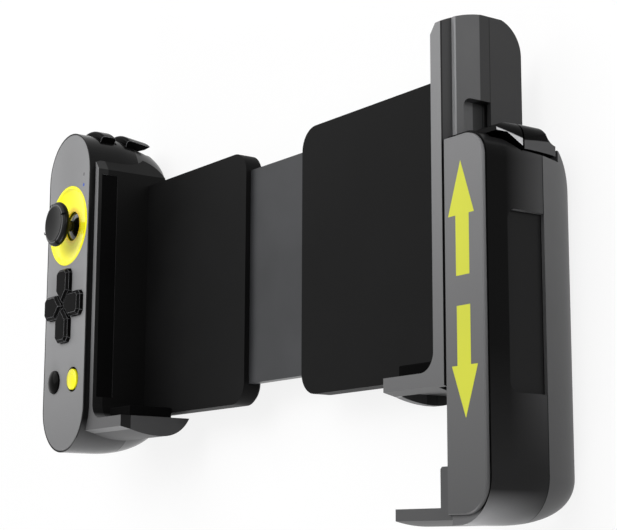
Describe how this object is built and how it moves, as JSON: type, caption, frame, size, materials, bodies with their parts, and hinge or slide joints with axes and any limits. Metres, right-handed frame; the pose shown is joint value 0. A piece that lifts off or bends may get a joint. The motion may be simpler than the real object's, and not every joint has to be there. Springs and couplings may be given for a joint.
{
  "type": "mobile game controller",
  "caption": "Stretching handheld game pad that clamps a phone: stick pod on the left, sliding grip on the right, flat telescopic bridge behind.",
  "frame": {"origin": "under the middle of the whole pad, in the plane that its two rounded backs rest on", "axes": "+X runs from the stick pod to the sliding grip, +Y toward the shoulder buttons, +Z out of the front"},
  "size_m": [0.2026, 0.1236, 0.037],
  "materials": {
    "light_grey_plastic": "fine satin",
    "mid_grey_plastic": "satin",
    "gloss_black_plastic": "gloss",
    "dark_plastic": "fine spark texture",
    "black_rubber": "dull",
    "yellow_plastic": "gloss",
    "blue_lamp": "clear",
    "steel": "plain",
    "aluminium": "bead blasted",
    "acetal": "smooth",
    "brass": "plain",
    "board_green": "smooth",
    "battery_silver": "foil"
  },
  "bodies": {
    "left_module": {"left_faceplate": "light_grey_plastic", "left_front_shell": "gloss_black_plastic", "left_rear_shell": "dark_plastic", "stick_ring": "yellow_plastic", "stick_housing": "steel", "button_membrane": "black_rubber", "left_circuit_board": "board_green", "board_screws": "steel", "battery": "battery_silver", "charging_socket": "steel", "indicator_lamps": "blue_lamp", "home_button_surround": "black_rubber", "pod_screws": "steel", "left_clamp_frame": "mid_grey_plastic", "left_clamp_body": "dark_plastic", "left_clamp_back": "dark_plastic", "left_wall_pad": "black_rubber", "left_ledge_pad": "black_rubber", "left_bridge_sleeve": "dark_plastic", "bridge_brake_shoes": "black_rubber", "left_trigger_pin": "steel", "left_shoulder_switches": "acetal"},
    "stick_yoke_body": {"stick_yoke": "acetal"},
    "stick_pivot_body": {"stick_pivot": "acetal"},
    "thumbstick": {"thumbstick_shaft": "brass", "thumbstick_cap": "gloss_black_plastic"},
    "dpad_up_key": {"dpad_up": "gloss_black_plastic"},
    "dpad_down_key": {"dpad_down": "gloss_black_plastic"},
    "dpad_left_key": {"dpad_left": "gloss_black_plastic"},
    "dpad_right_key": {"dpad_right": "gloss_black_plastic"},
    "select_key": {"select_button": "gloss_black_plastic"},
    "home_key": {"home_button": "yellow_plastic"},
    "left_bumper_key": {"left_bumper": "gloss_black_plastic"},
    "left_trigger_lever": {"left_trigger": "gloss_black_plastic"},
    "right_clamp": {"right_clamp_frame": "mid_grey_plastic", "right_clamp_body": "dark_plastic", "right_clamp_back": "dark_plastic", "right_wall_pad": "black_rubber", "right_ledge_pad": "black_rubber", "right_bridge_sleeve": "dark_plastic", "bridge_rail": "aluminium", "rail_screws": "steel"},
    "right_grip": {"grip_front_panel": "mid_grey_plastic", "grip_front_shell": "dark_plastic", "grip_rear_shell": "dark_plastic", "grip_shelf": "mid_grey_plastic", "grip_tongue": "acetal", "grip_screws": "steel", "right_circuit_board": "board_green", "right_trigger_pin": "steel", "right_shoulder_switches": "acetal"},
    "right_bumper_key": {"right_bumper": "gloss_black_plastic"},
    "right_trigger_lever": {"right_trigger": "gloss_black_plastic"}
  },
  "joints": [
    {"name": "bridge_slide", "type": "slide", "parent": "left_module", "child": "right_clamp", "axis": [1, 0, 0], "range_m": [-0.027, 0.015]},
    {"name": "grip_slide", "type": "slide", "parent": "right_clamp", "child": "right_grip", "axis": [0, 1, 0], "range_m": [0, 0.025]},
    {"name": "stick_tilt_x", "type": "hinge", "parent": "left_module", "child": "stick_yoke_body", "pos_m": [-0.08783, 0.03105, 0.0222], "axis": [1, 0, 0], "range_deg": [-12, 12], "stiffness_Nm_per_rad": 0.02},
    {"name": "stick_tilt_y", "type": "hinge", "parent": "stick_yoke_body", "child": "stick_pivot_body", "pos_m": [-0.08783, 0.03105, 0.0222], "axis": [0, 1, 0], "range_deg": [-12, 12], "stiffness_Nm_per_rad": 0.02},
    {"name": "stick_click", "type": "slide", "parent": "stick_pivot_body", "child": "thumbstick", "axis": [0, 0, -1], "range_m": [0, 0.0004], "stiffness_N_per_m": 1500},
    {"name": "dpad_up_press", "type": "slide", "parent": "left_module", "child": "dpad_up_key", "axis": [0, 0, -1], "range_m": [0, 0.0007], "stiffness_N_per_m": 600},
    {"name": "dpad_down_press", "type": "slide", "parent": "left_module", "child": "dpad_down_key", "axis": [0, 0, -1], "range_m": [0, 0.0007], "stiffness_N_per_m": 600},
    {"name": "dpad_left_press", "type": "slide", "parent": "left_module", "child": "dpad_left_key", "axis": [0, 0, -1], "range_m": [0, 0.0007], "stiffness_N_per_m": 600},
    {"name": "dpad_right_press", "type": "slide", "parent": "left_module", "child": "dpad_right_key", "axis": [0, 0, -1], "range_m": [0, 0.0007], "stiffness_N_per_m": 600},
    {"name": "select_press", "type": "slide", "parent": "left_module", "child": "select_key", "axis": [0, 0, -1], "range_m": [0, 0.0005], "stiffness_N_per_m": 600},
    {"name": "home_press", "type": "slide", "parent": "left_module", "child": "home_key", "axis": [0, 0, -1], "range_m": [0, 0.0005], "stiffness_N_per_m": 600},
    {"name": "left_bumper_press", "type": "slide", "parent": "left_module", "child": "left_bumper_key", "axis": [0, -1, 0], "range_m": [0, 0.0009], "stiffness_N_per_m": 600},
    {"name": "left_trigger_pull", "type": "hinge", "parent": "left_module", "child": "left_trigger_lever", "pos_m": [-0.08783, 0.05515, 0.0154], "axis": [-1, 0, 0], "range_deg": [0, 6], "stiffness_Nm_per_rad": 0.05},
    {"name": "right_bumper_press", "type": "slide", "parent": "right_grip", "child": "right_bumper_key", "axis": [0, -1, 0], "range_m": [0, 0.0009], "stiffness_N_per_m": 600},
    {"name": "right_trigger_pull", "type": "hinge", "parent": "right_grip", "child": "right_trigger_lever", "pos_m": [0.09563, 0.01705, 0.0164], "axis": [-1, 0, 0], "range_deg": [0, 6], "stiffness_Nm_per_rad": 0.05}
  ]
}
